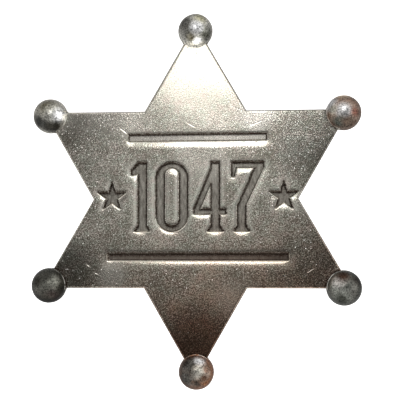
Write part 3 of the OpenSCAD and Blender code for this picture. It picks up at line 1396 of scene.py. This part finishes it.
@dataclass(frozen=True)
class Softbox:
    """One square soft light.

    Attributes:
        name: The light's name.
        lean: How far it leans from straight above towards +X and towards +Y, in degrees.
        distance: Its distance from the middle of the face.
        size: Its side.
        radiance: Brightness of its panel.
    """

    name: str
    lean: tuple[float, float]
    distance: float
    size: float
    radiance: float

    def build(self, target: Vector) -> None:
        """Makes the light, facing the target.

        Args:
            target: Middle of the face.
        """
        way = Vector((*(math.tan(math.radians(a)) for a in self.lean), 1)).normalized()
        data = bpy.data.lights.new(self.name, "AREA")
        data.shape = "SQUARE"
        data.size = self.size
        data.energy = self.radiance * math.pi * self.size ** 2
        new_object(self.name, data).matrix_world = (
            Matrix.Translation(target + way * self.distance)
            @ way.to_track_quat("Z", "Y").to_matrix().to_4x4())


@dataclass
class Studio:
    """Floor, lights and camera.

    Attributes:
        floor_size: Side of the floor.
        view: Direction from the badge to the camera, as its x and y parts.
        distance: Distance from the badge to the camera.
        lens: Focal length for the sensor's width, in millimetres.
        shift: Shift of the picture, in picture widths.
        target: Point that the camera looks at and the lights face.
        lights: The soft lights.
    """

    floor_size: float = 1.6
    view: tuple[float, float] = (0.0727, -0.0738)
    distance: float = 0.1723
    lens: float = 79.97
    shift: tuple[float, float] = (0.0113, -0.0022)
    target: Vector = field(default_factory=lambda: Vector((0, 0, 3.4 * MM)))
    lights: tuple[Softbox, ...] = (
        Softbox("key", (0.8, 23.0), 0.36, 0.11, 4.35),
        Softbox("overhead", (-4.4, 4.0), 0.34, 0.13, 0.38),
        Softbox("side", (68.0, 10.0), 0.36, 0.19, 2.4),
    )

    def camera(self) -> None:
        """Makes the camera, nearly straight above the face."""
        away = Vector((*self.view, math.sqrt(1 - self.view[0] ** 2 - self.view[1] ** 2)))
        right = Vector((0, 1, 0)).cross(away).normalized()
        turn = Matrix((right, away.cross(right), away)).transposed().to_4x4()
        data = bpy.data.cameras.new("camera")
        data.lens = self.lens
        data.sensor_width = 36.0
        data.shift_x, data.shift_y = self.shift
        data.clip_start = 0.01
        camera = new_object("camera", data)
        camera.matrix_world = Matrix.Translation(self.target + away * self.distance) @ turn
        bpy.context.scene.camera = camera

    def world(self) -> None:
        """Makes the room: dark overhead, brighter towards the top point's side."""
        world = bpy.data.worlds.new("room")
        bpy.context.scene.world = world
        world.use_nodes = True
        tree = world.node_tree
        tree.nodes.clear()
        way = add(tree, "TexCoord", out="Generated")
        split = add(tree, "SeparateXYZ", way).node
        wall, front, overhead, below = (
            add(tree, "MapRange", split.outputs[axis], *ramp, interpolation_type="SMOOTHSTEP")
            for axis, ramp in (("Y", (-0.8, 0.8, 1.6, 1.1)), ("Y", (-0.8, -1.0, 0.0, 1.6)),
                               ("Z", (0.97, 0.7, 0.04, 1.0)), ("Z", (0.0, -0.25))))
        walls = add(tree, "Math", wall, front, operation="ADD")
        above = add(tree, "Math", walls, overhead, operation="MULTIPLY")
        room = add(tree, "Mix", below, above, 0.45, data_type="FLOAT")
        add(tree, "OutputWorld", add(tree, "Background", (1, 1, 1, 1), room))

    def floor(self) -> None:
        """Makes the pale floor, which lights itself a little so that it stays near white."""
        bm = bmesh.new()
        bmesh.ops.create_grid(bm, x_segments=1, y_segments=1, size=self.floor_size / 2)
        mesh = bpy.data.meshes.new("floor")
        bm.to_mesh(mesh)
        bm.free()
        floor = new_object("floor", mesh)
        material, tree = new_material("pale_paper")
        shader = add(tree, "BsdfPrincipled", linear("#F4F3F1"), Roughness=0.9,
                     Emission_Color=linear("#FFFFFF"), Emission_Strength=0.85)
        add(tree, "OutputMaterial", shader)
        mesh.materials.append(material)
        floor.visible_glossy = False
        floor.visible_diffuse = False

    def build(self) -> None:
        """Sets up the whole studio."""
        bpy.context.scene.view_settings.view_transform = "Standard"
        self.camera()
        for light in self.lights:
            light.build(self.target)
        self.world()
        self.floor()


# The balls from the upper right one round to the left. Their base colours, and their patches'
# places, reaches and colours, weren't chosen by hand: another script fitted them to the photo
# by least squares, which the report names as a fault. Only the top ball's base colour and its
# last two patches were given afterwards, and so were every seam and lip.
# Their colours hold painted highlights and painted shade as well as tarnish and copper.
BALLS = (
    BallNickel("upper_right", "#957967", seam=0.6, lip=0.5, patches=(
        Patch((-0.80, 0.48, 0.36), 0.66, "#FFFFFF", 0.28),
        Patch((-0.09, -0.03, 1.00), 0.62, "#FFFFFF", 0.28),
        Patch((-0.68, 0.07, 0.73), 0.40, "#B1AFA3"),
        Patch((-0.32, -0.63, 0.71), 0.66, "#3B4542"),
        Patch((0.56, -0.10, 0.82), 0.44, "#5F3B33"),
        Patch((0.17, -0.63, 0.76), 0.59, "#3B2E29"),
        Patch((-0.07, 0.97, 0.22), 0.65, "#FEE6C8"),
    )),
    BallNickel("top", "#FFFCF2", seam=0.15, lip=0.15, patches=(
        Patch((-0.44, -0.33, 0.84), 0.59, "#302E29"),
        Patch((-0.54, 0.27, 0.80), 0.81, "#312E29"),
        Patch((-0.21, -0.59, 0.78), 0.44, "#5B543F"),
        Patch((0.67, -0.30, 0.68), 0.82, "#353629"),
        Patch((0.33, 0.62, 0.72), 0.56, "#C2BD9D"),
        Patch((0.16, -0.78, 0.60), 0.36, "#FFFFFF", 0.28),
        Patch((0.13, 0.00, 0.99), 0.50, "#FFFFFF", 0.33),
    )),
    BallNickel("upper_left", "#F8F4E8", seam=0.25, lip=0.1, patches=(
        Patch((-0.01, 0.38, 0.93), 1.00, "#585034"),
        Patch((0.44, -0.26, 0.86), 1.00, "#FDFBEF", 0.28),
        Patch((0.69, -0.13, 0.71), 0.67, "#FFFFFF", 0.28),
        Patch((-0.04, -0.69, 0.73), 0.65, "#302E29"),
        Patch((-0.53, -0.43, 0.74), 0.75, "#3A3A37"),
        Patch((0.45, -0.69, 0.57), 0.75, "#302E29"),
    )),
    BallNickel("lower_left", "#605F59", seam=0.9, lip=0.7, patches=(
        Patch((0.46, 0.04, 0.89), 0.74, "#A2A297"),
        Patch((0.38, -0.58, 0.72), 0.72, "#413635"),
        Patch((-0.50, 0.24, 0.83), 0.45, "#302E29"),
        Patch((0.80, -0.11, 0.59), 0.65, "#302E29"),
        Patch((0.03, 0.54, 0.84), 0.53, "#45443F"),
        Patch((-0.04, -0.87, 0.50), 1.00, "#302E29"),
    )),
    BallNickel("bottom", "#AE7650", seam=0.7, lip=0.6, patches=(
        Patch((-0.51, -0.30, 0.81), 1.00, "#302E29"),
        Patch((-0.38, 0.51, 0.77), 1.00, "#302E29"),
        Patch((0.37, 0.06, 0.93), 0.69, "#EEEADC"),
        Patch((0.26, 0.73, 0.63), 0.47, "#FFFFFF", 0.28),
        Patch((0.62, 0.22, 0.75), 0.43, "#7C6557"),
        Patch((0.12, -0.55, 0.83), 0.45, "#342E29"),
        Patch((0.49, -0.27, 0.83), 0.47, "#5A4538"),
    )),
    BallNickel("lower_right", "#787A73", seam=0.9, lip=0.8, patches=(
        Patch((-0.38, 0.46, 0.81), 0.58, "#DCD7D1"),
        Patch((0.08, -0.31, 0.95), 0.49, "#DDE0D5"),
        Patch((-0.12, 0.71, 0.70), 0.66, "#513D31"),
        Patch((0.73, 0.37, 0.57), 0.64, "#372F29"),
        Patch((0.53, -0.17, 0.83), 0.78, "#595853"),
        Patch((-0.15, -0.60, 0.78), 0.62, "#30312C"),
    )),
)


def main() -> None:
    """Builds the badge piece by piece and reports each, then sets up the studio."""
    logging.basicConfig(level=logging.INFO, format="%(name)s: %(message)s")
    plate = StarPlate(BALLS)
    balls = [BallTip(finish, arm, plate) for arm, finish in enumerate(BALLS)]
    for maker in (plate, *balls, BroochPin()):
        piece = maker.build()
        LOG.info("%s: %d faces", piece.name, len(piece.data.polygons))
    Studio().build()


if __name__ == "__main__":
    main()
